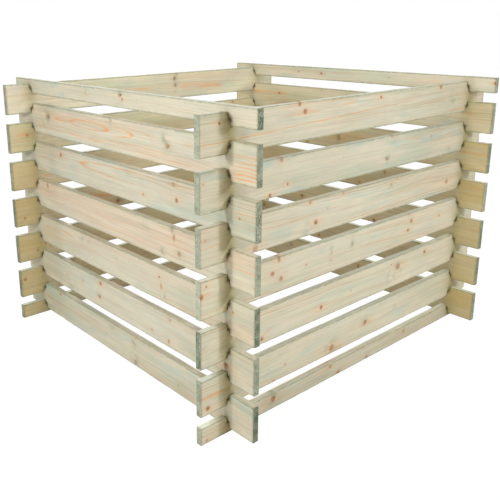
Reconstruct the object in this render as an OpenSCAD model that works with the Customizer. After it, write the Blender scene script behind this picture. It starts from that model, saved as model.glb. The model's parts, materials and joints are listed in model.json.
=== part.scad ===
// Slatted timber compost bin. Its boards are notched near both ends, top and bottom, and stack
// crosswise like a log cabin, so the bin goes together and lifts apart without a fastener.
// X runs along the front, Y towards the back, Z up. The origin is on the ground, at the middle.

/* [Boards] */
// Length of the front and back boards
front_l = 1120; // [700:10:1800]
// Length of the side boards
side_l = 1050; // [700:10:1800]
// Height of a full board
board_h = 88; // [70:1:140]
// Thickness of every board
board_t = 16; // [12:1:28]
// Width of the saw cut where a full board is ripped into a ground or top half board
saw_cut = 2; // [0:0.5:5]
// Rounding of the long edges
edge_r = 2; // [0.5:0.5:4]

/* [Notches] */
// Board end that stands out past the face of the board that it crosses
end_l = 81; // [40:1:140]
// Depth of each notch
notch_d = 15; // [8:1:24]
// Play between a notch and each face of the board in it
notch_play = 2; // [0.5:0.5:4]
// Rounding at the mouth of a notch
mouth_r = 8; // [2:1:12]

/* [Stack] */
// Full boards in each wall
courses = 6; // [1:1:9]

/* [Hidden] */
$fn = 32;
COURSES = [1 : courses];

// How far a cutter runs past the face that it cuts
overcut = 1;

// A board sits a notch deep in the one below, and takes it a notch deep from underneath
interlock = 2 * notch_d;
rise = board_h - interlock;
half_h = (board_h - saw_cut) / 2;

// The side boards start one interlock down from the top of the ground boards
side_z = half_h - interlock;
front_z = side_z + rise;
top_z = side_z + 2 * courses * rise;

// Centre planes of the walls
front_y = side_l / 2 - end_l - board_t / 2;
side_x = front_l / 2 - end_l - board_t / 2;

notch_w = board_t + 2 * notch_play;
flare_r = min(mouth_r, notch_d - overcut);

timber = [0.85, 0.81, 0.69];
timber_shade = [0.80, 0.76, 0.63];

// Board cross section, thickness along X and height along Y, with eased corners
module section(height) {
    inner_t = board_t - 2 * edge_r;
    inner_h = height - 2 * edge_r;
    translate([-inner_t / 2, 0]) square([inner_t, height]);
    translate([-board_t / 2, edge_r]) square([board_t, inner_h]);
    for (x = [-inner_t / 2, inner_t / 2], y = [edge_r, height - edge_r])
        translate([x, y]) circle(edge_r);
}

// Waste that rounds one corner of a notch's mouth, from the corner at the origin along +X
module mouth_flare() {
    difference() {
        translate([0, -flare_r]) square([flare_r, flare_r + overcut]);
        translate([flare_r, -flare_r]) circle(flare_r);
    }
}

// Outline of a notch in a top edge, centred on the origin
module notch_outline() {
    translate([-notch_w / 2, -notch_d]) square([notch_w, notch_d + overcut]);
    translate([notch_w / 2, 0]) mouth_flare();
    translate([-notch_w / 2, 0]) mirror([1, 0]) mouth_flare();
}

// Cutter for a notch in the edge at height z; an edge facing down has facing = -1
module notch(z, facing) {
    translate([0, 0, z])
        rotate([90, 0, 0])
            linear_extrude(board_t + 2 * overcut, center = true)
                scale([1, facing])
                    notch_outline();
}

// Board along X, centred in length and thickness, standing on z = 0
module board(length, height, top_notched, bottom_notched) {
    notch_x = length / 2 - end_l - board_t / 2;
    difference() {
        rotate([90, 0, 90])
            linear_extrude(length, center = true)
                section(height);
        for (x = [-notch_x, notch_x]) translate([x, 0, 0]) {
            if (top_notched) notch(height, 1);
            if (bottom_notched) notch(0, -1);
        }
    }
}

// Places a board of the front wall, where side is -1, or of the back wall, where it is 1
module on_front(side, z) {
    translate([0, side * front_y, z]) children();
}

// Places a board of the left wall, where side is -1, or of the right wall, where it is 1
module on_side(side, z) {
    translate([side * side_x, 0, z]) rotate([0, 0, 90]) children();
}

module front_ground_board() {
    color(timber) on_front(-1, 0) board(front_l, half_h, true, false);
}

module back_ground_board() {
    color(timber_shade) on_front(1, 0) board(front_l, half_h, true, false);
}

module front_board(n) {
    color(timber) on_front(-1, front_z + 2 * (n - 1) * rise) board(front_l, board_h, true, true);
}

module back_board(n) {
    color(timber_shade) on_front(1, front_z + 2 * (n - 1) * rise) board(front_l, board_h, true, true);
}

module left_board(n) {
    color(timber) on_side(-1, side_z + 2 * (n - 1) * rise) board(side_l, board_h, true, true);
}

module right_board(n) {
    color(timber_shade) on_side(1, side_z + 2 * (n - 1) * rise) board(side_l, board_h, true, true);
}

module left_top_board() {
    color(timber) on_side(-1, top_z) board(side_l, half_h, false, true);
}

module right_top_board() {
    color(timber_shade) on_side(1, top_z) board(side_l, half_h, false, true);
}

front_ground_board();
back_ground_board();
for (n = COURSES) {
    left_board(n);
    right_board(n);
    front_board(n);
    back_board(n);
}
left_top_board();
right_top_board();
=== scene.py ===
"""Slatted compost bin of notched, pressure-treated pine boards, seen from its front left corner.

Every board of the frame is replaced by a modelled one: worn long edges, a slight bow, notches with
rounded mouths, and timber that is solid all through, so that rings, knots and end grain agree.
A board's own axes are X along the grain, from left to right as seen from outside the bin,
Y towards the inside of the bin, and Z up from its bottom edge. Lengths are in metres.
"""
import json
import math
import random

import bpy
from mathutils import Euler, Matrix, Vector, noise


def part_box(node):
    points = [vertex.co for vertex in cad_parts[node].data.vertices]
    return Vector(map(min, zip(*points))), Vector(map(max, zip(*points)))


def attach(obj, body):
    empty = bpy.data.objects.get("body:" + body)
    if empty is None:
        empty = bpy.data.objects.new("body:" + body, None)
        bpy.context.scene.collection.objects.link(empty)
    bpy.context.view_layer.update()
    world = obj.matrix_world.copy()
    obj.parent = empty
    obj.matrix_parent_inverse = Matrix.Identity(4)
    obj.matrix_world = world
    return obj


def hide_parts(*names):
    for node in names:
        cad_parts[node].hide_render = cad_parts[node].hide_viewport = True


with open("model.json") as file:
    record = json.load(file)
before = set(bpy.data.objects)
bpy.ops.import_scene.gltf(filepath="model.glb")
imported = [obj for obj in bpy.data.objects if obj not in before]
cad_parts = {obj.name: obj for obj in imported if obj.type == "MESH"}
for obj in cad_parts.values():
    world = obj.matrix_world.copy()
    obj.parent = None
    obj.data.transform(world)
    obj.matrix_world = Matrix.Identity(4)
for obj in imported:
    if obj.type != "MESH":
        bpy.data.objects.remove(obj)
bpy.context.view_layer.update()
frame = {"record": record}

# The picture is square, and the camera's centre lies off the picture's centre.
PICTURE = 500
FOCAL = 660.11
CENTRE_ACROSS = 193.45
CENTRE_DOWN = 199.57
CAMERA_AT = (-1.38313, -1.41622, 0.91580)
CAMERA_HEADING = 39.727
CAMERA_PITCH = -15.189
CAMERA_ROLL = -0.604

# The joints, as the frame's boards have them.
NOTCH_DEPTH = 0.015
NOTCH_PLAY = 0.002
MOUTH_RADIUS = 0.008
EDGE_RADIUS = 0.002

# How finely a board is modelled.
STATION_STEP = 0.010
MOUTH_STEPS = 6
EDGE_STEPS = 3
SIDE_ROWS = 6
SAWN_RADIUS = 0.0004
END_CHAMFER = 0.0007
WALL_STEP = 0.00005
SUPPORT = 0.0008
SHARP_ANGLE = 38
BOW = 0.0008

# How far the heart of the tree wanders along a board, on the whole and in ripples; and how far a
# drawn line of the figure wavers, and over what length it fades at its two ends.
HEART_WANDER = 0.030
HEART_RIPPLE = 0.0024
LINE_WAVER = 0.006
LINE_TAPER = 0.035

# How far the painted shade and olive stain reach from a crossing, a notch (the soaked zone and its dark
# rim at the contact line, each with painted contact shade), a saw cut and a long edge (painted shade),
# and how ragged they are; and how soon an overhanging end takes on its own painted light and shade.
CROSSING_SHADE_REACH = 0.030
SOAK_SHADE_REACH = 0.0060
CONTACT_SHADE_REACH = 0.0022
CUT_REACH = 0.0032
ARRIS_SHADE_REACH = 0.0028
STAIN_RAGGED = 0.006
OVERHANG_FADE = 0.020

# The angle that a distant lamp fills, the width of a near one, and the weak warm light from all
# round; then half the floor's width, its grey, its own white, and how much of that white is seen.
LAMP_SPREAD = 8
LAMP_SIZE = 0.14
DOME_STRENGTH = 0.07
FLOOR_HALF = 12.0
FLOOR_GREY = 0.86
FLOOR_WHITE = 1.08
FLOOR_SHARE = 0.86

# How far the boards of each wall are turned, in degrees, so that Y points into the bin.
TURN = {"front": 0, "right": 90, "back": 180, "left": -90}


def srgb(red, green, blue):
    """Linear colour, with alpha, from a screen colour of 0 to 255."""
    def linear(level):
        level /= 255
        return level / 12.92 if level <= 0.04045 else ((level + 0.055) / 1.055) ** 2.4
    return (linear(red), linear(green), linear(blue), 1.0)


CREAM = srgb(210, 203, 180)
COPPER_GREEN = srgb(184, 195, 172)
PALE_BLUE = srgb(187, 198, 184)
# Painted warm shade for the inner faces.
SHADE_GOLD = srgb(206, 186, 132)
EARLY_PINK = srgb(218, 197, 172)
LATE_TAN = srgb(176, 154, 116)
STREAK_ORANGE = srgb(220, 160, 102)
KNOT_BROWN = srgb(174, 118, 76)
KNOT_HEART = srgb(112, 68, 44)
KNOT_RIM = srgb(116, 98, 74)
HALO_ORANGE = srgb(220, 174, 132)
HALO_GREEN = srgb(142, 158, 134)
# Preservative soaked in at cut ends and notches; by the notches it also stands for painted contact
# shade, darkest at the contact line.
SOAK_AND_SHADE = srgb(96, 92, 48)
CONTACT_SOAK_SHADE = srgb(52, 54, 32)
# Painted shade, with an olive stain, where boards cross.
CROSSING_STAIN_SHADE = srgb(146, 134, 78)
# Painted shade along the long edges.
ARRIS_SHADE_GREEN = srgb(132, 138, 108)
# Painted light: the top edges paler and bluer.
TOP_LIT_GREY = srgb(206, 214, 204)
END_PALE = srgb(204, 206, 182)
END_DARK = srgb(80, 94, 74)


class Graph:
    """Adds nodes to a tree. A value may be a plain number or colour, or another node's output."""

    def __init__(self, tree):
        self.tree = tree

    def node(self, kind, inputs=None, **settings):
        """Adds a node with its settings, and feeds its inputs."""
        made = self.tree.nodes.new(kind)
        for name, value in settings.items():
            setattr(made, name, value)
        for socket, value in (inputs or {}).items():
            self.feed(made.inputs[socket], value)
        return made

    def feed(self, socket, value):
        """Sets a socket to a plain value, or links another node's output to it."""
        if isinstance(value, bpy.types.NodeSocket):
            self.tree.links.new(value, socket)
        else:
            socket.default_value = value

    def math(self, operation, *values, clamp=False):
        inputs = dict(enumerate(values))
        return self.node("ShaderNodeMath", inputs, operation=operation, use_clamp=clamp).outputs[0]

    def vector(self, operation, *values):
        made = self.node("ShaderNodeVectorMath", operation=operation)
        for socket, value in zip(made.inputs, values):
            self.feed(socket, value)
        return made.outputs["Value" if operation in ("LENGTH", "DOT_PRODUCT") else "Vector"]

    def join(self, x, y, z):
        return self.node("ShaderNodeCombineXYZ", {"X": x, "Y": y, "Z": z}).outputs[0]

    def split(self, vector):
        return self.node("ShaderNodeSeparateXYZ", {0: vector}).outputs

    def noise(self, point, detail=2.0, roughness=0.5, vector=False):
        inputs = {"Vector": point, "Scale": 1.0, "Detail": detail, "Roughness": roughness}
        made = self.node("ShaderNodeTexNoise", inputs, noise_dimensions="3D")
        return made.outputs["Color" if vector else "Fac"]

    def noise_along(self, value, detail=1.0):
        inputs = {"W": value, "Scale": 1.0, "Detail": detail}
        return self.node("ShaderNodeTexNoise", inputs, noise_dimensions="1D").outputs["Fac"]

    def step(self, value, low, high):
        """0 at low, 1 at high and smooth in between; falls where low is the greater."""
        inputs = {"Value": value, "From Min": low, "From Max": high}
        return self.node("ShaderNodeMapRange", inputs, interpolation_type="SMOOTHSTEP").outputs[0]

    def centred(self, value, width):
        """Spreads a value of 0 to 1 over the width, half of it to each side of nil."""
        return self.math("MULTIPLY_ADD", value, width, -width / 2)

    def mix(self, amount, first, second, blend="MIX"):
        made = self.node("ShaderNodeMix", data_type="RGBA", blend_type=blend)
        factor, first_colour, second_colour = made.inputs[0], made.inputs[6], made.inputs[7]
        for socket, value in ((factor, amount), (first_colour, first), (second_colour, second)):
            self.feed(socket, value)
        return made.outputs[2]

    def shade(self, colour, tone):
        """Makes a colour darker or lighter by a plain number."""
        return self.mix(1.0, colour, self.join(tone, tone, tone), "MULTIPLY")


def new_group(name, inputs, outputs):
    """An empty node group with its sockets, and its graph, group input and group output."""
    tree = bpy.data.node_groups.new(name, "ShaderNodeTree")
    for in_out, sockets in (("INPUT", inputs), ("OUTPUT", outputs)):
        for label, kind in sockets:
            tree.interface.new_socket(label, in_out=in_out, socket_type="NodeSocket" + kind)
    graph = Graph(tree)
    given = graph.node("NodeGroupInput").outputs
    result = graph.node("NodeGroupOutput").inputs
    return tree, graph, given, result


def fade(g, distance, width):
    """1 where the distance is nil, falling off within the width as a bell curve."""
    scaled = g.math("DIVIDE", distance, width)
    return g.math("EXPONENT", g.math("MULTIPLY", g.math("MULTIPLY", scaled, scaled), -1.0))


def knot_group():
    """A branch that runs through the board along Y, with the grain parting round it."""
    tree, g, given, result = new_group(
        "knot",
        [("Point", "Vector"), ("Centre", "Vector"), ("Radius", "Float"), ("Tall", "Float"),
         ("Lean", "Vector"), ("Depth", "Float"), ("Green", "Float"),
         ("Rise", "Float"), ("Core", "Float"), ("Rim", "Float"), ("Halo", "Float"), ("Stain", "Float")],
        [("Rise", "Float"), ("Core", "Float"), ("Rim", "Float"), ("Halo", "Float"), ("Stain", "Float")])
    x, y, z = g.split(g.vector("SUBTRACT", given["Point"], given["Centre"]))
    lean_x, _, lean_z = g.split(given["Lean"])
    x = g.math("SUBTRACT", x, g.math("MULTIPLY", y, lean_x))
    z = g.math("SUBTRACT", z, g.math("MULTIPLY", y, lean_z))
    ragged = g.noise(g.vector("MULTIPLY", given["Point"], (150, 60, 150)), detail=2)
    upright = g.math("DIVIDE", z, given["Tall"])
    near = g.math("DIVIDE", g.vector("LENGTH", g.join(x, 0.0, upright)), given["Radius"])
    near = g.math("ADD", near, g.centred(ragged, 0.9))
    along = g.join(g.math("DIVIDE", x, 2.4), 0.0, upright)
    reach = g.math("DIVIDE", g.vector("LENGTH", along), given["Radius"])
    part = g.math("MULTIPLY", g.math("MULTIPLY", z, fade(g, reach, 2.2)), -0.85)
    core = g.math("MULTIPLY", g.step(near, 1.15, 0.55), given["Depth"])
    rim = g.math("MULTIPLY", g.step(near, 0.75, 1.0), g.step(near, 1.5, 1.1))
    rim = g.math("MULTIPLY", rim, given["Depth"])
    halo = g.math("MULTIPLY", fade(g, reach, 1.9), given["Depth"])
    patchy = g.noise(g.vector("MULTIPLY", given["Point"], (38, 30, 55)), detail=2)
    stain = g.math("MULTIPLY", fade(g, near, 2.7), g.step(patchy, 0.38, 0.58))
    stain = g.math("MULTIPLY", stain, given["Green"])
    g.feed(result["Rise"], g.math("ADD", given["Rise"], part))
    for label, value in (("Core", core), ("Rim", rim), ("Halo", halo), ("Stain", stain)):
        g.feed(result[label], g.math("MAXIMUM", given[label], value))
    return tree


def windowed(g, given, x, off_line):
    """A line of the figure: strongest on it, fading at its two ends, joined to those before it."""
    strength = g.math("MULTIPLY", fade(g, off_line, given["Width"]), given["Depth"])
    starts = g.step(x, given["Start"], g.math("ADD", given["Start"], LINE_TAPER))
    stops = g.step(x, given["Stop"], g.math("SUBTRACT", given["Stop"], LINE_TAPER))
    strength = g.math("MULTIPLY", strength, g.math("MULTIPLY", starts, stops))
    return g.math("MAXIMUM", given["Line"], strength)


def wavering(g, point):
    """Small unevenness of a drawn line of the figure."""
    shake = g.noise(g.vector("MULTIPLY", point, (24, 40, 40)), detail=2)
    return g.centred(shake, LINE_WAVER)


def line_group():
    """A ring that shows as a long, slightly bent line."""
    tree, g, given, result = new_group(
        "line",
        [("Point", "Vector"), ("Start", "Float"), ("Stop", "Float"), ("Level", "Float"),
         ("Slope", "Float"), ("Width", "Float"), ("Depth", "Float"), ("Line", "Float")],
        [("Line", "Float")])
    x, _, z = g.split(given["Point"])
    middle = g.math("MULTIPLY", g.math("ADD", given["Start"], given["Stop"]), 0.5)
    level = g.math("MULTIPLY_ADD", g.math("SUBTRACT", x, middle), given["Slope"], given["Level"])
    level = g.math("ADD", level, wavering(g, given["Point"]))
    g.feed(result["Line"], windowed(g, given, x, g.math("SUBTRACT", z, level)))
    return tree


def loop_group():
    """A ring that comes out at the face as a long tongue."""
    tree, g, given, result = new_group(
        "loop",
        [("Point", "Vector"), ("Start", "Float"), ("Stop", "Float"), ("Centre", "Vector"),
         ("Length", "Float"), ("Height", "Float"), ("Width", "Float"), ("Depth", "Float"),
         ("Line", "Float")],
        [("Line", "Float")])
    x, _, z = g.split(given["Point"])
    centre_x, _, centre_z = g.split(given["Centre"])
    z = g.math("ADD", z, wavering(g, given["Point"]))
    across = g.math("DIVIDE", g.math("SUBTRACT", x, centre_x), given["Length"])
    upright = g.math("DIVIDE", g.math("SUBTRACT", z, centre_z), given["Height"])
    out = g.math("SUBTRACT", g.vector("LENGTH", g.join(across, upright, 0.0)), 1.0)
    g.feed(result["Line"], windowed(g, given, x, g.math("MULTIPLY", out, given["Height"])))
    return tree


def timber_group():
    """Colour, roughness and relief of treated pine at a point of the solid board.

    Ring is the width of a year's growth. Streak, Green and Warm say how much of it is orange, green
    or pinkish; ShadeGold, how much of the inner face is golden, which is painted warm shade. Change
    says how far the green fades along the board. Pale lightens the whole board. InnerLight, Top
    and OverhangLight lighten its inner face, its top edge and its two overhanging ends, and darken
    them where they are below nil; TopLitGrey makes the top edge paler and bluer. These four are
    painted light and shade. CrossingStainShade darkens where boards cross, with painted shade and an
    olive stain. End and Speckle say how dark and how mottled the end grain is. Joint holds the notch's
    place, half its width and half the board's length; Cuts, the board's height and whether it is
    notched below and above.
    """
    tree, g, given, result = new_group(
        "timber",
        [("Point", "Vector"), ("Seed", "Vector"), ("Heart", "Vector"), ("Lean", "Vector"),
         ("Ring", "Float"), ("Streak", "Float"), ("Green", "Float"), ("Warm", "Float"),
         ("Pale", "Float"), ("ShadeGold", "Float"), ("End", "Float"), ("Speckle", "Float"),
         ("Change", "Float"), ("CrossingStainShade", "Float"), ("InnerLight", "Float"), ("Top", "Float"),
         ("TopLitGrey", "Float"), ("OverhangLight", "Vector"), ("Joint", "Vector"), ("Cuts", "Vector"),
         ("Rise", "Float"), ("Core", "Float"), ("Rim", "Float"), ("Halo", "Float"),
         ("Stain", "Float"), ("Line", "Float")],
        [("Color", "Color"), ("Roughness", "Float"), ("Relief", "Float")])
    point = given["Point"]
    x, y, z = g.split(point)

    # Which way the face looks, and how the place lies to the notches.
    facing = g.split(g.node("ShaderNodeTexCoord").outputs["Normal"])
    long_face = g.step(g.math("ABSOLUTE", facing[1]), 0.3, 0.9)
    inner_face = g.step(facing[1], 0.3, 0.9)
    top_face = g.step(facing[2], 0.5, 0.9)
    sawn_face = g.step(g.math("ABSOLUTE", facing[0]), 0.55, 0.85)
    notch_x, notch_half, half_length = g.split(given["Joint"])
    board_height, cut_below, cut_above = g.split(given["Cuts"])
    along = g.math("ABSOLUTE", x)
    past_notch = g.math("SUBTRACT", along, notch_x)
    low_end = g.step(g.math("SUBTRACT", g.math("MULTIPLY", x, -1.0), notch_x), 0.0, OVERHANG_FADE)
    high_end = g.step(g.math("SUBTRACT", x, notch_x), 0.0, OVERHANG_FADE)

    def seeded(scale, detail=2.0, roughness=0.5, vector=False):
        """The board's own noise; a scale that is low along the board draws it out with the grain."""
        place = g.vector("ADD", g.vector("MULTIPLY", point, scale), given["Seed"])
        return g.noise(place, detail, roughness, vector)

    # Distance from the heart of the tree, which wanders along the board.
    sway = g.split(seeded((2.0, 5.0, 5.0), detail=2.0, vector=True))
    ripple = g.split(seeded((14, 45, 45), detail=1.0, vector=True))
    _, heart_y, heart_z = g.split(given["Heart"])
    _, lean_y, lean_z = g.split(given["Lean"])

    def off_heart(value, heart, lean, wander, shake):
        value = g.math("SUBTRACT", value, g.math("MULTIPLY_ADD", x, lean, heart))
        value = g.math("ADD", value, g.centred(wander, HEART_WANDER))
        return g.math("ADD", value, g.centred(shake, HEART_RIPPLE))

    # The rings. Their late part is dark; some are chosen to be strong, and those come and go.
    out_y = off_heart(y, heart_y, lean_y, sway[1], ripple[1])
    out_z = off_heart(g.math("ADD", z, given["Rise"]), heart_z, lean_z, sway[2], ripple[2])
    radius = g.vector("LENGTH", g.join(0.0, out_y, out_z))
    rings = g.math("DIVIDE", radius, given["Ring"])
    seed_x = g.split(given["Seed"])[0]
    spacing = g.noise_along(g.math("MULTIPLY_ADD", rings, 0.45, seed_x))
    rings = g.math("MULTIPLY_ADD", spacing, 1.7, rings)
    part = g.math("FRACT", rings)
    late = g.math("MULTIPLY", g.step(part, 0.30, 0.88), g.step(part, 1.0, 0.92))
    chosen = g.noise_along(g.math("MULTIPLY_ADD", rings, 0.31, g.math("MULTIPLY", seed_x, 1.7)))
    strong = g.step(chosen, 0.50, 0.68)
    fading = g.step(seeded((3.2, 16, 16), detail=2), 0.42, 0.62)
    faint = g.step(seeded((2.4, 20, 20), detail=2), 0.34, 0.66)

    # Colour of the long faces: green and pink patches, painted warm shade inside, painted light on top,
    # then the rings.
    patches = seeded((2.8, 12, 12), detail=3)
    lost = g.math("MULTIPLY", g.step(x, -0.16, 0.12), given["Change"])
    green = g.math("MULTIPLY", given["Green"], g.math("MULTIPLY_ADD", lost, -1.0, 1.0))
    colour = g.mix(g.math("MULTIPLY", g.step(patches, 0.42, 0.66), green), CREAM, COPPER_GREEN)
    clouds = g.step(seeded((7, 26, 26), detail=3, roughness=0.6), 0.50, 0.70)
    colour = g.mix(g.math("MULTIPLY", clouds, green), colour, PALE_BLUE)
    blush = g.step(seeded((1.8, 18, 18), detail=2, roughness=0.4), 0.45, 0.7)
    colour = g.mix(g.math("MULTIPLY", blush, given["Warm"]), colour, EARLY_PINK)
    # The golden inner face, stronger on the overhanging ends, is painted warm shade.
    shade_gold = g.math("MULTIPLY", given["ShadeGold"], g.math("MULTIPLY_ADD", blush, 0.4, 0.8))
    shade_gold = g.math("MULTIPLY", shade_gold, g.math("MULTIPLY_ADD", g.math("ADD", low_end, high_end), 0.7, 1.0))
    colour = g.mix(g.math("MULTIPLY", shade_gold, inner_face, clamp=True), colour, SHADE_GOLD)
    # The paler, bluer top edge is painted light.
    colour = g.mix(g.math("MULTIPLY", top_face, given["TopLitGrey"]), colour, TOP_LIT_GREY)
    shown = g.math("MULTIPLY", g.math("MULTIPLY_ADD", faint, 0.42, 0.08), g.step(chosen, 0.26, 0.60))
    colour = g.mix(g.math("MULTIPLY", late, shown), colour, LATE_TAN)
    orange = g.math("MULTIPLY", late, strong)
    orange = g.math("MULTIPLY", orange, g.math("MULTIPLY", fading, given["Streak"]))
    uneven = g.step(seeded((11, 60, 60), detail=3), 0.28, 0.62)
    drawn = g.math("MULTIPLY", given["Line"], g.math("MULTIPLY_ADD", uneven, 0.75, 0.25))
    colour = g.mix(g.math("MAXIMUM", orange, drawn), colour, STREAK_ORANGE)

    # Light and dark of the long faces, from broad blotches down to single fibres, and specks of dirt.
    fibres = seeded((7, 380, 380), detail=3, roughness=0.65)
    flecks = seeded((40, 1300, 1300), detail=1)
    grain = seeded((5, 125, 125), detail=3, roughness=0.7)
    blotches = seeded((9, 34, 34), detail=3, roughness=0.65)
    tone = g.math("MULTIPLY_ADD", fibres, 0.32, g.math("ADD", given["Pale"], 0.82))
    for spots, width in ((grain, 0.28), (flecks, 0.12), (blotches, 0.20)):
        tone = g.math("ADD", tone, g.centred(spots, width))
    # The lighter and darker inner face, top edge and overhanging ends are painted light and shade.
    low_end_light, high_end_light, _ = g.split(given["OverhangLight"])
    for place, extra in ((inner_face, given["InnerLight"]), (top_face, given["Top"]),
                         (low_end, low_end_light), (high_end, high_end_light)):
        tone = g.math("ADD", tone, g.math("MULTIPLY", place, extra))
    colour = g.shade(colour, tone)
    dirt = g.step(seeded((260, 300, 300), detail=1), 0.74, 0.80)
    colour = g.mix(g.math("MULTIPLY", dirt, 0.5), colour, KNOT_RIM)

    # Knots, with the preservative taken up round them.
    colour = g.mix(g.math("MULTIPLY", given["Halo"], 0.55), colour, HALO_ORANGE)
    colour = g.mix(g.math("MULTIPLY", given["Stain"], 0.8), colour, HALO_GREEN)
    mottle = seeded((170, 90, 170), detail=2)
    knot = g.mix(g.step(mottle, 0.42, 0.66), KNOT_BROWN, KNOT_HEART)
    colour = g.mix(g.math("MULTIPLY", given["Rim"], 0.4), colour, KNOT_RIM)
    colour = g.mix(given["Core"], colour, knot)

    # The faces are darkest by a crossing, where painted shade lies with an olive stain; by a notch's
    # mouth, where sap and preservative gather and painted contact shade is added; and at the board's
    # ends, where the sap and preservative gather.
    ragged = g.centred(seeded((90, 120, 160), detail=2), STAIN_RAGGED)
    by_crossing = g.math("ABSOLUTE", past_notch)
    # Painted shadow of the crossing board's overhang, stronger on the overhanging side, with an olive
    # stain.
    outer_side = g.math("MULTIPLY_ADD", g.step(past_notch, -0.022, 0.012), 0.6, 0.4)
    crossing = fade(g, g.math("MULTIPLY_ADD", ragged, 3.0, by_crossing), CROSSING_SHADE_REACH)
    crossing = g.math("MULTIPLY", g.math("MULTIPLY", crossing, outer_side), given["CrossingStainShade"])
    colour = g.mix(crossing, colour, CROSSING_STAIN_SHADE)
    by_notch = g.math("MAXIMUM", g.math("SUBTRACT", by_crossing, notch_half), 0.0)
    by_notch = g.math("ADD", by_notch, g.math("MULTIPLY", ragged, 1.6))
    stain_from, stain_full = NOTCH_DEPTH + 0.008, NOTCH_DEPTH - 0.002
    below = g.math("MULTIPLY", g.step(z, stain_from, stain_full), cut_below)
    down = g.math("SUBTRACT", board_height, z)
    above = g.math("MULTIPLY", g.step(down, stain_from, stain_full), cut_above)
    mouths = g.math("MAXIMUM", below, above)
    # By a notch's mouth, preservative with painted contact shade, darkest in a rim at the contact line.
    soak = g.math("MULTIPLY", fade(g, by_notch, SOAK_SHADE_REACH), mouths)
    rim = g.math("MULTIPLY", fade(g, by_notch, CONTACT_SHADE_REACH), mouths)
    by_end = g.math("ADD", g.math("SUBTRACT", half_length, along), ragged)
    soak = g.math("MAXIMUM", soak, g.math("MULTIPLY", fade(g, by_end, CUT_REACH), 0.75))
    colour = g.mix(g.math("MULTIPLY", soak, 0.65), colour, SOAK_AND_SHADE)
    colour = g.mix(g.math("MULTIPLY", rim, 0.8), colour, CONTACT_SOAK_SHADE)
    # The darker green along the long edges is painted shade.
    by_arris = g.math("MINIMUM", g.math("ABSOLUTE", down), g.math("ABSOLUTE", z))
    by_arris = g.math("ADD", by_arris, ragged)
    edge_shade = g.math("MULTIPLY", fade(g, by_arris, ARRIS_SHADE_REACH), long_face)
    colour = g.mix(g.math("MULTIPLY", edge_shade, 0.8), colour, ARRIS_SHADE_GREEN)

    # End grain and the walls of the notches, which soak up the most.
    soaked = g.step(seeded((60, 50, 60), detail=3), 0.3, 0.7)
    soaked = g.math("ADD", g.math("MULTIPLY_ADD", soaked, 0.24, -0.08), given["End"])
    specks = g.step(seeded((90, 280, 200), detail=3, roughness=0.7), 0.38, 0.64)
    specks = g.math("MULTIPLY", g.centred(specks, 0.44), given["Speckle"])
    sawn = g.mix(g.math("ADD", soaked, specks, clamp=True), END_PALE, END_DARK)
    cuts = seeded((30, 420, 60), detail=2, roughness=0.6)
    sawn = g.shade(sawn, g.math("MULTIPLY_ADD", cuts, 0.4, 0.82))
    sawn = g.mix(g.math("MULTIPLY", late, 0.25), sawn, END_DARK)
    sawn = g.mix(g.math("MULTIPLY", given["Core"], 0.6), sawn, KNOT_BROWN)
    colour = g.mix(sawn_face, colour, sawn)

    relief = g.math("ADD", g.math("MULTIPLY", fibres, 0.5), g.math("MULTIPLY", late, 0.25))
    relief = g.math("ADD", relief, g.math("MULTIPLY", given["Rim"], -0.6))
    rough = g.math("MULTIPLY_ADD", fibres, 0.22, 0.62)
    rough = g.math("SUBTRACT", rough, g.math("MULTIPLY", given["Core"], 0.14))
    g.feed(result["Color"], colour)
    g.feed(result["Relief"], relief)
    g.feed(result["Roughness"], rough)
    return tree


def chain(g, group, inputs, found, labels):
    """Adds a group that passes on what the ones before it found."""
    made = g.node("ShaderNodeGroup", node_tree=group)
    for label, value in inputs.items():
        g.feed(made.inputs[label], value)
    for label in labels:
        g.feed(made.inputs[label], found[label])
        found[label] = made.outputs[label]


def timber_material(name, look, marks, groups):
    """The board's own piece of timber, with its knots, lines and loops in millimetres."""
    material = bpy.data.materials.new(name)
    material.use_nodes = True
    tree = material.node_tree
    tree.nodes.clear()
    g = Graph(tree)
    point = g.node("ShaderNodeTexCoord").outputs["Object"]
    found = {"Rise": 0.0, "Core": 0.0, "Rim": 0.0, "Halo": 0.0, "Stain": 0.0, "Line": 0.0}
    for along, up, radius, tall, depth, green in marks["knots"]:
        spread = random.Random(f"{name} {along}")
        inputs = {
            "Point": point,
            "Centre": (along / 1000, 0.0, up / 1000),
            "Radius": radius / 1000,
            "Tall": tall,
            "Lean": (spread.uniform(-0.5, 0.5), 0.0, spread.uniform(-0.3, 0.3)),
            "Depth": depth,
            "Green": green,
        }
        chain(g, groups["knot"], inputs, found, ("Rise", "Core", "Rim", "Halo", "Stain"))
    for start, stop, level, slope, width, depth in marks["lines"]:
        inputs = {"Point": point, "Start": start / 1000, "Stop": stop / 1000, "Level": level / 1000,
                  "Slope": slope, "Width": width / 1000, "Depth": depth}
        chain(g, groups["line"], inputs, found, ("Line",))
    for start, stop, along, up, length, height, width, depth in marks["loops"]:
        inputs = {"Point": point, "Start": start / 1000, "Stop": stop / 1000,
                  "Centre": (along / 1000, 0.0, up / 1000), "Length": length / 1000,
                  "Height": height / 1000, "Width": width / 1000, "Depth": depth}
        chain(g, groups["loop"], inputs, found, ("Line",))
    timber = g.node("ShaderNodeGroup", node_tree=groups["timber"])
    for label, value in {"Point": point, **look, **found}.items():
        g.feed(timber.inputs[label], value)
    bump = g.node("ShaderNodeBump", {"Strength": 0.3, "Distance": 0.0006,
                                     "Height": timber.outputs["Relief"]})
    shader = g.node("ShaderNodeBsdfPrincipled", {
        "Base Color": timber.outputs["Color"],
        "Roughness": timber.outputs["Roughness"],
        "Normal": bump.outputs[0],
        "Specular IOR Level": 0.2,
    })
    g.node("ShaderNodeOutputMaterial", {"Surface": shader.outputs[0]})
    return material


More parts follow.
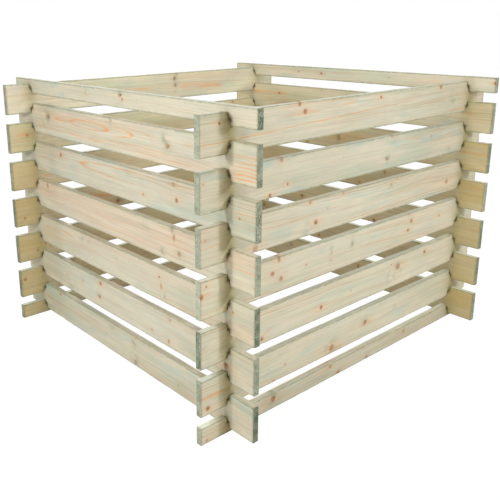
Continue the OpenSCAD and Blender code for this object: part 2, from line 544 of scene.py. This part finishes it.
def mouth_profile():
    """Offsets from a notch's wall, and depths, along the rounded mouth from the wall outwards."""
    angles = [math.pi / 2 * i / MOUTH_STEPS for i in range(MOUTH_STEPS + 1)]
    return [(MOUTH_RADIUS * (1 - math.cos(a)), MOUTH_RADIUS * (1 - math.sin(a))) for a in angles]


def stations(length, notch_x, notch_half):
    """Places along the board where it has a section, each with the notch's depth there."""
    mouth = mouth_profile()
    found = []
    stops = [-length / 2 + END_CHAMFER]
    for centre in (-notch_x, notch_x):
        for side in (-1, 1):
            found += [(centre + side * (notch_half + offset), depth) for offset, depth in mouth]
            found.append((centre + side * (notch_half - WALL_STEP), NOTCH_DEPTH))
            stops.append(centre + side * (notch_half + MOUTH_RADIUS))
    stops.append(length / 2 - END_CHAMFER)
    for first, last in zip(stops[::2], stops[1::2]):
        count = max(1, round((last - first) / STATION_STEP))
        found += [(first + (last - first) * i / count, 0.0) for i in range(count + 1)]
    unique = {round(place, 7): (place, depth) for place, depth in found}
    return [unique[key] for key in sorted(unique)]


def section(thickness, low, high, radii):
    """Closed outline in Y and Z, anticlockwise from the bottom left corner, with eased corners.

    Points close beside each corner keep the shading of the flat faces flat.
    """
    points = []
    corners = ((-1, -1), (1, -1), (1, 1), (-1, 1))
    for index, (side, level) in enumerate(corners):
        radius = radii[index]
        centre_y = side * (thickness / 2 - radius)
        centre_z = low + radius if level < 0 else high - radius
        start = math.pi * (1 + index / 2)
        for i in range(EDGE_STEPS + 1):
            angle = start + math.pi / 2 * i / EDGE_STEPS
            points.append((centre_y + radius * math.cos(angle), centre_z + radius * math.sin(angle)))
        last = points[-1]
        after = radii[(index + 1) % 4]
        if index % 2:
            end_z = high - after if index == 1 else low + after
            rows = [i / (SIDE_ROWS + 1) for i in range(1, SIDE_ROWS + 1)]
            span = end_z - last[1]
            fractions = [SUPPORT / abs(span), *rows, 1 - SUPPORT / abs(span)]
            points += [(last[0], last[1] + span * f) for f in fractions]
        else:
            end_y = -side * (thickness / 2 - after)
            span = end_y - last[0]
            fractions = [SUPPORT / abs(span), 0.5, 1 - SUPPORT / abs(span)]
            points += [(last[0] + span * f, last[1]) for f in fractions]
    return points


def edge_wear(rng):
    """Rounding of a long edge at a place along the board: uneven, with a few knocks."""
    phase = rng.uniform(0, 100)
    # Each knock's place along, half width and depth.
    knocks = [(rng.uniform(-0.5, 0.5), rng.uniform(0.004, 0.012), rng.uniform(0.0006, 0.0022))
              for _ in range(rng.randint(2, 5))]

    def wear(x):
        drift = noise.noise(Vector((x * 14, phase, 0.0)))
        radius = EDGE_RADIUS * (0.95 + 0.5 * drift)
        for place, width, depth in knocks:
            radius += depth * math.exp(-((x - place) / width) ** 2)
        return radius

    return wear


def board_mesh(name, size, notch_x, top_notched, bottom_notched, rng):
    """The board's shape: an outline at each place along it, skinned over, and its two sawn ends."""
    length, thickness, height = size
    notch_half = thickness / 2 + NOTCH_PLAY
    wears = [edge_wear(rng) for _ in range(4)]
    bow = rng.uniform(-BOW, BOW)
    places = stations(length, notch_x, notch_half)
    ends = [(-length / 2, -END_CHAMFER), *places, (length / 2, -END_CHAMFER)]
    vertices = []
    for x, depth in ends:
        inset = max(0.0, -depth)
        depth = max(0.0, depth)
        low = inset + (depth if bottom_notched else 0.0)
        high = height - inset - (depth if top_notched else 0.0)
        radii = []
        for wear, cut in zip(wears, (bottom_notched, bottom_notched, top_notched, top_notched)):
            eased = wear(x) - (depth * 0.5 if cut else 0.0)
            radii.append(max(SAWN_RADIUS, eased - inset))
        shift = bow * (1 - (x / notch_x) ** 2)
        outline = section(thickness - 2 * inset, low, high, radii)
        vertices += [(x, y + shift, z) for y, z in outline]
    count = len(vertices) // len(ends)
    faces = []
    for i in range(len(ends) - 1):
        for j in range(count):
            k = (j + 1) % count
            faces.append((i * count + j, i * count + k, (i + 1) * count + k, (i + 1) * count + j))
    faces.append(tuple(reversed(range(count))))
    faces.append(tuple((len(ends) - 1) * count + j for j in range(count)))
    mesh = bpy.data.meshes.new(name)
    mesh.from_pydata(vertices, [], faces)
    mesh.validate()
    mesh.shade_smooth()
    mesh.set_sharp_from_angle(angle=math.radians(SHARP_ANGLE))
    return mesh


# Knots that the picture shows, on each board, in millimetres: along from the middle, up from the
# bottom edge, radius; then how tall for its length, how deep in colour and how green round it.
KNOTS = {
    "front_board_6": [(-504, 64, 3.5, 1, 0.9, 0), (-263, 86, 5, 1, 0.8, 0),
                      (-249, 66, 5.5, 1, 0.9, 0.2), (42, 76, 3.5, 1, 0.9, 0),
                      (318, 80, 6, 0.8, 0.7, 0.2), (390, 45, 8, 1, 0, 0.6)],
    "front_board_5": [(-321, 83, 5, 1.3, 0.6, 0.3), (-353, 8, 4, 1, 0.9, 0), (-301, 24, 2.8, 1, 0.9, 0),
                      (99, 84, 5, 1, 0.5, 0.5), (76, 29, 6, 0.8, 0.4, 0.9), (-99, 56, 1.5, 1, 0.7, 0),
                      (285, 63, 4, 0.9, 0.3, 0.2), (388, 19, 4, 1, 0.2, 0.5),
                      (-549, 62, 2, 1, 0.5, 0.3)],
    "front_board_4": [(-220, 81, 3.5, 1, 0.7, 0), (-194, 29, 5, 1, 1, 0.2), (-96, 82, 2.5, 1, 0.5, 0),
                      (-154, 56, 1.6, 1, 0.7, 0), (106, 71, 4, 1, 0.35, 0.5), (131, 83, 3, 1, 0.4, 0),
                      (388, 35, 5.5, 0.9, 0.75, 0.3), (-397, 10, 8, 1, 0.5, 0),
                      (-542, 61, 3, 1, 0.4, 0), (-225, 14, 8, 1, 0, 0.5)],
    "front_board_3": [(-321, 81, 4, 2, 0.7, 0), (-341, 51, 5.5, 1, 0.75, 0),
                      (-312, 34, 5.5, 1, 0.7, 0.3), (-222, 44, 2.5, 1, 0.7, 0),
                      (-128, 57, 3, 2.4, 0.2, 0.5), (-128, 35, 3.5, 1, 0.3, 0.3),
                      (-44, 57, 3.5, 1.4, 0.35, 0.6), (217, 62, 5.5, 1, 0.7, 0.3),
                      (206, 80, 3, 1.8, 0.3, 0.4), (206, 37, 5, 0.8, 0.8, 0.3),
                      (369, 50, 4.5, 1, 0.5, 0), (-540, 72, 3, 1, 0.6, 0), (-556, 53, 5, 1, 0.9, 0)],
    "front_board_2": [(-166, 29, 5, 1, 0.9, 0), (166, 54, 8, 1, 0.7, 0.5), (140, 34, 7, 1, 0, 0.7),
                      (306, 70, 4.5, 1, 1, 0.2), (-371, 15, 5, 1, 0.8, 0), (-48, 44, 4, 0.7, 0.3, 0),
                      (136, 70, 2, 1, 0.7, 0.2), (-545, 42, 8, 1, 0, 0.4)],
    "front_board_1": [(-109, 15, 8.5, 1, 0.85, 1), (29, 44, 6.5, 0.9, 0.85, 0.6),
                      (-291, 33, 3, 1, 0.5, 0), (165, 46, 4, 1, 0.15, 0.6), (-331, 3, 3, 1, 0.7, 0),
                      (-543, 16, 5, 1, 0.9, 0.3)],
    "front_ground_board": [(-327, 26, 7.5, 1, 0.85, 1), (-116, 36, 5.5, 0.9, 0.7, 0.2),
                           (-77, 4, 7, 1, 0.8, 0.4), (44, 4, 4, 1, 0.6, 0.5),
                           (227, 28, 3.5, 1, 0.7, 0.3), (-540, 8, 4, 1, 0.5, 0)],
    "left_top_board": [(-116, 23, 4, 1, 0.3, 0.3), (50, 32, 6.5, 0.9, 0.45, 0.9),
                       (51, 33, 3, 1, 0.9, 0), (57, 21, 4, 1, 0.6, 0.5)],
    "left_board_6": [(-329, 54, 6.5, 0.9, 0.7, 0.8), (-352, 52, 5, 1.6, 0, 0.9),
                     (2, 79, 4, 1, 0.15, 0.7), (238, 45, 8, 0.9, 0.4, 0.5), (239, 46, 3.5, 1, 0.9, 0),
                     (229, 61, 5, 1, 0.2, 1)],
    "left_board_5": [(-269, 69, 5.5, 1, 0.9, 0.1), (257, 74, 5.5, 0.9, 0.45, 0.2),
                     (264, 39, 5.5, 1, 0.75, 0.1), (137, 30, 2.6, 1.2, 0.9, 0), (479, 46, 3, 1, 0.6, 0),
                     (76, 76, 5, 0.7, 0, 0.6)],
    "left_board_4": [(-359, 76, 4.5, 2, 0.6, 0), (254, 62, 4.5, 1.7, 0.55, 0),
                     (246, 82, 3.5, 1.5, 0.3, 0.9), (275, 26, 6, 0.9, 0.55, 0.4),
                     (204, 15, 5, 1, 0.15, 0.8), (140, 66, 7, 1, 0, 0.3)],
    "left_board_3": [(193, 63, 3, 1, 0.9, 0), (202, 37, 4, 1.8, 0.6, 0), (5, 59, 3, 1, 0.3, 0),
                     (-164, 64, 8, 0.8, 0, 0.6), (462, 57, 3, 1, 0.6, 0), (212, 18, 3, 1.6, 0.3, 0.2)],
    "left_board_2": [(-88, 74, 5.5, 1, 0.8, 0.2), (-93, 33, 5, 1, 0.65, 0.6),
                     (-280, 47, 5, 0.8, 0.35, 0), (-183, 55, 4, 1, 0.2, 0.4),
                     (232, 74, 3.5, 1, 0.5, 0.5), (230, 17, 4, 1.2, 0.6, 0.2),
                     (159, 20, 3, 1, 0.5, 0.2), (439, 40, 7, 1, 1, 0.4), (-255, 20, 7, 1.6, 0, 0.5)],
    "left_board_1": [(-325, 81, 3.5, 1, 0.8, 0), (68, 66, 6, 1, 0.3, 0.6), (78, 82, 3, 1, 0.6, 0.3),
                     (71, 16, 6, 1, 0.35, 1), (261, 25, 4, 1, 0.3, 0.1), (-30, 80, 9, 0.7, 0, 0.4)],
    "right_top_board": [(-522, 26, 4, 1, 0.9, 0), (100, 22, 4.5, 0.9, 0.8, 0), (-172, 24, 3, 1, 0.3, 0),
                        (205, 23, 6, 0.5, 0.4, 0)],
    "right_board_5": [(6, 40, 6, 1.5, 0.6, 0.8), (150, 6, 5, 1, 0.5, 1), (-280, 8, 6, 1, 0.2, 0.8)],
    "right_board_4": [(-184, 62, 5, 1.6, 0.5, 0.4), (-88, 12, 3, 1, 0.6, 0.5)],
    "right_board_3": [(-152, 8, 5, 1, 1, 0.4), (165, 29, 6, 1, 0.9, 0.5), (-300, 70, 7, 1, 0, 0.6)],
    "right_board_2": [(76, 12, 5, 1, 0.7, 0.2), (366, 75, 6, 1, 0.6, 0.2)],
    "right_board_1": [(-106, 60, 5, 1.2, 0.7, 0.3), (216, 58, 6, 1, 0.4, 0.9)],
    "back_board_6": [(-70, 70, 4, 1.6, 0.7, 0.7), (-72, 45, 4, 1.6, 0.55, 1),
                     (-76, 84, 4, 1, 0.4, 0.6)],
    "back_board_5": [(-350, 82, 3.5, 1, 0.6, 0.3), (505, 50, 6, 0.6, 0.6, 0.2)],
    "back_board_3": [(186, 20, 8, 0.8, 0.9, 0.8), (527, 27, 3, 1, 0.9, 0.3)],
    "back_board_2": [(493, 28, 3.5, 1, 0.6, 0.4), (468, 44, 4, 1, 0.7, 0)],
    "back_board_1": [(547, 58, 4, 1.3, 0.8, 0)],
}
# Lines of the figure: start and stop along, height at their middle, slope; width and depth.
LINES = {
    "front_board_6": [(-600, 200, 39.5, 0.040, 1.1, 1.0), (350, 480, 12, 0.02, 2.4, 0.5),
                      (-340, -170, 62, 0.0, 2.5, 0.4)],
    "front_board_5": [(105, 255, 71, -0.12, 1.2, 0.6), (290, 430, 48, 0.0, 3.5, 0.35),
                      (-170, -120, 52, 0, 3, 0.3)],
    "front_board_4": [(-390, -220, 48, 0.01, 1.6, 0.45), (-260, 110, 53, 0.01, 1.3, 0.4),
                      (250, 320, 64, 0, 3, 0.4), (-600, -470, 44, 0, 2, 0.4)],
    "front_board_3": [(215, 380, 48.5, 0, 1.5, 0.55), (-330, -270, 44, 0.1, 3, 0.4),
                      (-600, -510, 58, 0, 3, 0.5), (-60, 200, 74, 0.01, 1.3, 0.3)],
    "front_board_2": [(-400, -325, 26, 0.3, 2.5, 0.55), (-220, -160, 30, 0, 2, 0.4),
                      (-60, -20, 44, 0, 3, 0.4)],
    "front_board_1": [(-620, -455, 45, -0.04, 4.5, 0.75), (30, 80, 42, 0, 3, 0.55),
                      (70, 170, 36, 0.01, 2, 0.4), (-120, -50, 10, 0, 3, 0.35)],
    "front_ground_board": [(-620, -460, 31, 0, 1.4, 0.7), (-620, -460, 20, 0, 1.4, 0.6),
                           (-230, -100, 33, 0, 3, 0.5), (80, 420, 36, -0.01, 1.5, 0.4),
                           (-60, 300, 18, 0, 1.2, 0.3)],
    "left_board_6": [(-420, -20, 22, -0.006, 1.8, 0.8), (-190, -40, 17, 0, 1.8, 0.9),
                     (-30, 220, 17, 0, 1.4, 0.55), (215, 340, 14, 0, 1.5, 0.7),
                     (280, 340, 57, 0, 1.6, 0.8), (120, 240, 28, 0.02, 1.3, 0.45),
                     (440, 560, 45, 0, 1.8, 1.0), (440, 560, 36, 0.01, 1.6, 0.9),
                     (440, 560, 20, 0, 2.2, 1.0), (440, 560, 28, 0, 1.4, 0.8),
                     (440, 560, 60, -0.02, 1.4, 0.6), (440, 560, 11, 0, 1.6, 0.8),
                     (-320, -180, 54, 0.03, 2.5, 0.4), (-140, 40, 32, 0.01, 1.2, 0.5)],
    "left_board_5": [(-410, -290, 48, 0.03, 2, 0.5), (-225, -190, 77, 0.3, 3, 0.3),
                     (440, 560, 55, 0, 1.5, 0.6), (440, 560, 43, 0, 1.5, 0.5),
                     (90, 260, 52, 0.03, 1.2, 0.3)],
    "left_board_4": [(-350, -240, 36, 0.02, 1.6, 0.5), (150, 340, 45, 0, 3, 0.4),
                     (440, 560, 48, 0, 2.5, 0.5), (-120, 60, 50, 0.01, 3, 0.2)],
    "left_board_3": [(-300, -210, 64, -0.12, 2, 0.9), (-420, -280, 58, 0.06, 3, 0.5),
                     (-420, -270, 32, 0, 9, 0.25)],
    "left_board_2": [(190, 345, 43, 0, 4, 0.35), (-300, -255, 46, 0, 3, 0.4)],
    "left_board_1": [(85, 345, 12, 0.01, 5, 0.35), (300, 345, 34, 0, 2, 0.5)],
    "back_board_6": [(-310, -80, 36, 0.03, 9, 0.6), (-200, -80, 46, 0, 3, 0.5),
                     (20, 150, 42, 0, 4, 0.55)],
    "back_board_5": [(470, 540, 53, 0, 4, 0.7), (470, 560, 68, 0, 1.5, 0.5),
                     (460, 560, 35, 0.05, 1.4, 0.5)],
    "back_board_4": [(90, 170, 35, 0, 1.6, 1.0), (400, 480, 34, 0, 2, 0.7)],
    "back_board_3": [(180, 320, 50, 0.15, 6, 0.7), (-200, -100, 38, 0.1, 7, 0.7)],
    "back_board_2": [(470, 500, 70, 0.8, 2, 0.5), (-60, 20, 50, 0, 4, 0.4), (240, 290, 30, 0, 5, 0.4)],
    "right_board_6": [(240, 470, 57, 0, 4, 0.8), (-490, -420, 52, 0, 4.5, 0.8),
                      (-530, -440, 30, 0, 2, 0.4)],
    "right_board_5": [(-560, -420, 54, 0, 3, 0.7), (-140, 0, 50, 0, 5, 0.3)],
    "right_board_4": [(-560, -440, 66, 0, 2, 0.6), (-400, -330, 40, 0, 5, 0.3)],
    "right_board_3": [(-560, -470, 55, 0, 3, 0.5)],
    "right_top_board": [(-380, -240, 22, 0, 4, 0.3)],
}
# Tongues of the figure: start and stop along; centre, half length and half height; width and depth.
LOOPS = {
    "front_board_6": [(-330, -40, -200, 75, 140, 8, 1.4, 0.45)],
    "left_board_6": [(-310, -170, -240, 57, 50, 4.5, 1.4, 0.8), (-230, 20, -110, 56, 96, 10, 1.5, 1.0),
                     (10, 130, -10, 54, 106, 13, 1.4, 0.9), (-120, 200, 0, 50, 190, 24, 1.2, 0.4)],
    "left_board_5": [(-190, 130, 60, 62, 215, 14, 1.3, 0.85)],
    "left_board_1": [(60, 345, 260, 30, 190, 22, 1.4, 0.3)],
    "back_board_5": [(470, 560, 500, 53, 30, 9, 1.4, 0.5)],
}
# How the boards of a wall are marked, and single boards where the picture shows it; the rest is
# drawn by lot.
# Values for the top edge, the inner face, the overhanging ends and the crossing, and the golden inner
# face, are painted light and shade.
WALL_LOOKS = {
    "left": {"Top": 0.08, "TopLitGrey": 0.15, "CrossingStainShade": 0.12, "OverhangLight": (0.04, 0.04, 0)},
    "front": {"Top": 0.25, "TopLitGrey": 0.6, "CrossingStainShade": 0.8, "OverhangLight": (0, 0, 0)},
    "back": {"Top": 0.25, "TopLitGrey": 0.6, "CrossingStainShade": 0.45, "OverhangLight": (-0.05, -0.05, 0)},
    "right": {"Top": 0.25, "TopLitGrey": 0.6, "CrossingStainShade": 0.35, "OverhangLight": (-0.05, -0.05, 0)},
}
MARKED = {
    "left_board_6": {"Streak": 0.3, "Warm": 0.6, "Green": 0.35, "End": 0.64, "Speckle": 0.5},
    "left_board_5": {"Pale": -0.06, "Streak": 0.25, "Warm": 0.3, "Green": 0.6, "End": 0.64,
                     "Speckle": 1.0},
    "left_board_4": {"Streak": 0.3, "Warm": 0.7, "Green": 0.2, "End": 0.56, "Speckle": 0.5},
    "left_board_3": {"Streak": 0.3, "Warm": 0.5, "Green": 0.3, "End": 0.78, "Speckle": 0.5},
    "left_board_2": {"End": 0.60, "Speckle": 0.3},
    "left_board_1": {"Streak": 0.25, "Warm": 0.2, "Green": 0.75, "End": 0.86, "Speckle": 0.3},
    "left_top_board": {"Pale": 0.03, "Top": -0.04, "TopLitGrey": 0.7, "ShadeGold": 0.1, "Streak": 0.05,
                       "Green": 1.0, "Change": 0.9, "Warm": 0.0, "End": 0.76, "Speckle": 1.0},
    "front_board_6": {"Top": 0.0, "Pale": -0.06, "ShadeGold": 0.1, "Streak": 0.3, "Warm": 0.5,
                      "Green": 0.45, "End": 0.45, "Speckle": 0.6},
    "front_board_5": {"Pale": -0.08, "Streak": 0.15, "Green": 0.9, "Warm": 0.1, "End": 0.5,
                      "Speckle": 0.5},
    "front_board_4": {"Pale": -0.04, "Streak": 0.3, "End": 0.5, "Speckle": 0.4},
    "front_board_3": {"Streak": 0.3, "End": 0.24, "Speckle": 0.3},
    "front_board_2": {"End": 0.72, "Speckle": 0.8},
    "front_board_1": {"End": 0.48, "Speckle": 0.5},
    "back_board_6": {"InnerLight": 0.20, "ShadeGold": 0.0, "Top": 0.0},
    "back_board_5": {"InnerLight": 0.20, "ShadeGold": 0.30},
    "back_board_4": {"InnerLight": 0.10},
    "right_top_board": {"InnerLight": 0.28, "ShadeGold": 0.0, "Top": 0.0, "OverhangLight": (-0.18, 0, 0)},
    "right_board_6": {"InnerLight": 0.20, "ShadeGold": 0.30, "OverhangLight": (-0.18, 0.35, 0)},
    "front_ground_board": {"Top": 0.45, "Pale": -0.02, "Streak": 0.35, "Ring": 0.0034, "End": 0.34,
                           "Speckle": 0.3},
}


def board_look(node, height, rng):
    """Where the heart of the tree lay, how the timber is marked and stained, and the light and shade
    painted on it.
    """
    side = rng.choice((-1, 1))
    look = {
        "Seed": tuple(rng.uniform(0, 60) for _ in range(3)),
        "Heart": (0.0, side * rng.uniform(0.030, 0.090), height / 2 + side * rng.uniform(0.05, 0.13)),
        "Lean": (0.0, rng.uniform(-0.02, 0.02), rng.uniform(-0.02, 0.02)),
        "Ring": rng.uniform(0.0032, 0.0048),
        "Streak": rng.uniform(0.1, 0.35),
        "Green": rng.uniform(0.3, 0.8),
        "Warm": rng.uniform(0.2, 0.6),
        "End": rng.uniform(0.4, 0.8),
        "Speckle": rng.uniform(0.3, 0.9),
        "Change": 0.0,
        "Pale": 0.0,
        "InnerLight": 0.0,
        "ShadeGold": 0.50,
    }
    return look | WALL_LOOKS[node.split("_")[0]] | MARKED.get(node, {})


def board_marks(node, length, height, rng):
    """The board's knots, lines and loops; a board with no listed knots gets a few by lot."""
    lots = []
    for _ in range(rng.randint(2, 5)):
        along = rng.uniform(-0.46, 0.46) * length * 1000
        up = rng.uniform(0.1, 0.9) * height * 1000
        radius, tall = rng.uniform(2.5, 6), rng.uniform(0.8, 1.4)
        lots.append((along, up, radius, tall, rng.uniform(0.4, 1), rng.uniform(0, 0.8)))
    return {"knots": KNOTS.get(node, lots), "lines": LINES.get(node, []), "loops": LOOPS.get(node, [])}


def board(node, body, groups):
    """One board: its mesh, timber and place, riding on its body in the frame."""
    wall = node.split("_")[0]
    low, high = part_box(node)
    middle = (low + high) / 2
    across = wall in ("left", "right")
    size = high - low
    length, thickness = (size.y, size.x) if across else (size.x, size.y)
    crossing_low, crossing_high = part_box("front_board_1" if across else "right_board_1")
    crossing = (crossing_low + crossing_high) / 2
    notch_x = abs(crossing.y if across else crossing.x)
    rng = random.Random(node)
    cut_above, cut_below = "top" not in node, "ground" not in node
    mesh = board_mesh(node + "_timber", (length, thickness, size.z), notch_x, cut_above, cut_below, rng)
    look = board_look(node, size.z, rng)
    look["Joint"] = (notch_x, thickness / 2 + NOTCH_PLAY, length / 2)
    look["Cuts"] = (size.z, float(cut_below), float(cut_above))
    marks = board_marks(node, length, size.z, rng)
    mesh.materials.append(timber_material(node + "_pine", look, marks, groups))
    piece = bpy.data.objects.new(node + "_timber", mesh)
    bpy.context.scene.collection.objects.link(piece)
    piece.location = (middle.x, middle.y, low.z)
    piece.rotation_euler = (0.0, 0.0, math.radians(TURN[wall]))
    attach(piece, body)
    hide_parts(node)


def camera():
    """The picture's camera: its lens is shifted, because the picture's middle isn't on its axis."""
    lens = bpy.data.cameras.new("camera")
    lens.sensor_width = 36
    lens.lens = FOCAL / PICTURE * lens.sensor_width
    lens.shift_x = (PICTURE / 2 - CENTRE_ACROSS) / PICTURE
    lens.shift_y = (CENTRE_DOWN - PICTURE / 2) / PICTURE
    lens.clip_start, lens.clip_end = 0.05, 50
    holder = bpy.data.objects.new("camera", lens)
    bpy.context.scene.collection.objects.link(holder)
    heading = Euler((0, 0, math.radians(-CAMERA_HEADING))).to_matrix()
    pitch = Euler((math.radians(90 + CAMERA_PITCH), 0, 0)).to_matrix()
    roll = Euler((0, 0, math.radians(CAMERA_ROLL))).to_matrix()
    holder.rotation_euler = (heading @ pitch @ roll).to_euler()
    holder.location = CAMERA_AT
    bpy.context.scene.camera = holder


def distant_lamp(name, bearing, height, strength, colour):
    """A distant soft light, by its bearing clockwise from behind the bin and its height, in degrees."""
    light = bpy.data.lights.new(name, "SUN")
    light.energy = strength
    light.angle = math.radians(LAMP_SPREAD)
    light.color = colour
    holder = bpy.data.objects.new(name, light)
    holder.rotation_euler = (math.radians(90 - height), 0, math.radians(180 - bearing))
    bpy.context.scene.collection.objects.link(holder)


def near_lamp(name, place, aim, power, colour=(1, 1, 1)):
    """A small round lamp by the bin, aimed at a point of it."""
    light = bpy.data.lights.new(name, "AREA")
    light.shape = "DISK"
    light.size = LAMP_SIZE
    light.energy = power
    light.color = colour
    holder = bpy.data.objects.new(name, light)
    holder.location = place
    holder.rotation_euler = (Vector(place) - Vector(aim)).to_track_quat("Z", "Y").to_euler()
    bpy.context.scene.collection.objects.link(holder)


def seen_directly(g):
    """1 for what the camera sees, also by reflection or through glass."""
    rays = g.node("ShaderNodeLightPath").outputs
    seen = g.math("MAXIMUM", rays["Is Camera Ray"], rays["Is Glossy Ray"])
    return g.math("MAXIMUM", seen, rays["Is Transmission Ray"])


def studio():
    """A white background, a weak warm light from all round, and the lamps."""
    world = bpy.data.worlds.new("studio")
    world.use_nodes = True
    bpy.context.scene.world = world
    tree = world.node_tree
    tree.nodes.clear()
    g = Graph(tree)
    dome = g.node("ShaderNodeBackground",
                  {"Color": (1.0, 0.87, 0.52, 1.0), "Strength": DOME_STRENGTH})
    white = g.node("ShaderNodeBackground", {"Color": (1, 1, 1, 1), "Strength": 1.0})
    mixed = g.node("ShaderNodeMixShader", {0: seen_directly(g), 1: dome.outputs[0], 2: white.outputs[0]})
    g.node("ShaderNodeOutputWorld", {"Surface": mixed.outputs[0]})
    # Bearing and height in degrees, strength and colour.
    distant_lamp("front_right_lamp", 162, 22, 0.30, (0.98, 0.98, 1.1))
    distant_lamp("front_left_lamp", 206, 26, 0.45, (1.08, 1.0, 0.8))
    distant_lamp("left_lamp", 256, 26, 0.30, (1.05, 0.98, 0.85))
    distant_lamp("rear_left_lamp", 328, 20, 0.50, (0.9, 1.0, 1.2))
    distant_lamp("rear_right_lamp", 32, 20, 0.90, (1.0, 0.93, 0.78))
    distant_lamp("right_side_lamp", 90, 22, 0.55, (1.0, 0.98, 0.94))
    distant_lamp("rear_lamp", 0, 22, 0.25, (1.0, 0.99, 0.96))
    distant_lamp("top_lamp", 0, 85, 0.85, (0.98, 1.0, 1.0))
    # Place, the point aimed at, power and colour.
    near_lamp("front_lamp", (-0.094, -1.62, 0.92), (0.0, -0.444, 0.37), 6.8, (0.97, 1.0, 1.08))
    near_lamp("far_front_lamp", (-0.094, -2.6, 1.3), (0.0, -0.444, 0.37), 4.0)
    near_lamp("side_lamp", (-1.5, -0.3, 0.90), (-0.479, -0.15, 0.37), 6.1, (0.98, 0.98, 1.04))
    near_lamp("far_side_lamp", (-2.6, -0.9, 1.2), (-0.479, 0.0, 0.37), 4.4, (0.9, 1.0, 1.1))
    near_lamp("right_lamp", (1.5, -0.6, 0.9), (0.3, 0.43, 0.6), 4.0, (1.0, 0.96, 0.62))
    near_lamp("inner_lamp", (-0.2, -0.25, 1.9), (0.2, 0.3, 0.4), 3.4, (0.98, 1.0, 1.1))


def floor():
    """A wide white floor that keeps a faint shadow."""
    half = FLOOR_HALF
    corners = [(-half, -half, 0), (half, -half, 0), (half, half, 0), (-half, half, 0)]
    mesh = bpy.data.meshes.new("floor")
    mesh.from_pydata(corners, [], [(0, 1, 2, 3)])
    material = bpy.data.materials.new("white_floor")
    material.use_nodes = True
    tree = material.node_tree
    tree.nodes.clear()
    g = Graph(tree)
    matt = g.node("ShaderNodeBsdfDiffuse", {"Color": (FLOOR_GREY, FLOOR_GREY, FLOOR_GREY, 1)})
    white = g.node("ShaderNodeEmission", {"Color": (1, 1, 1, 1), "Strength": FLOOR_WHITE})
    amount = g.math("MULTIPLY", seen_directly(g), FLOOR_SHARE)
    mixed = g.node("ShaderNodeMixShader", {0: amount, 1: matt.outputs[0], 2: white.outputs[0]})
    g.node("ShaderNodeOutputMaterial", {"Surface": mixed.outputs[0]})
    mesh.materials.append(material)
    holder = bpy.data.objects.new("floor", mesh)
    bpy.context.scene.collection.objects.link(holder)


bpy.context.scene.view_settings.view_transform = "Standard"
camera()
studio()
floor()
groups = {"knot": knot_group(), "line": line_group(), "loop": loop_group(), "timber": timber_group()}
for body, nodes in frame["record"]["behaviour"]["bodies"].items():
    for node in nodes:
        board(node, body, groups)
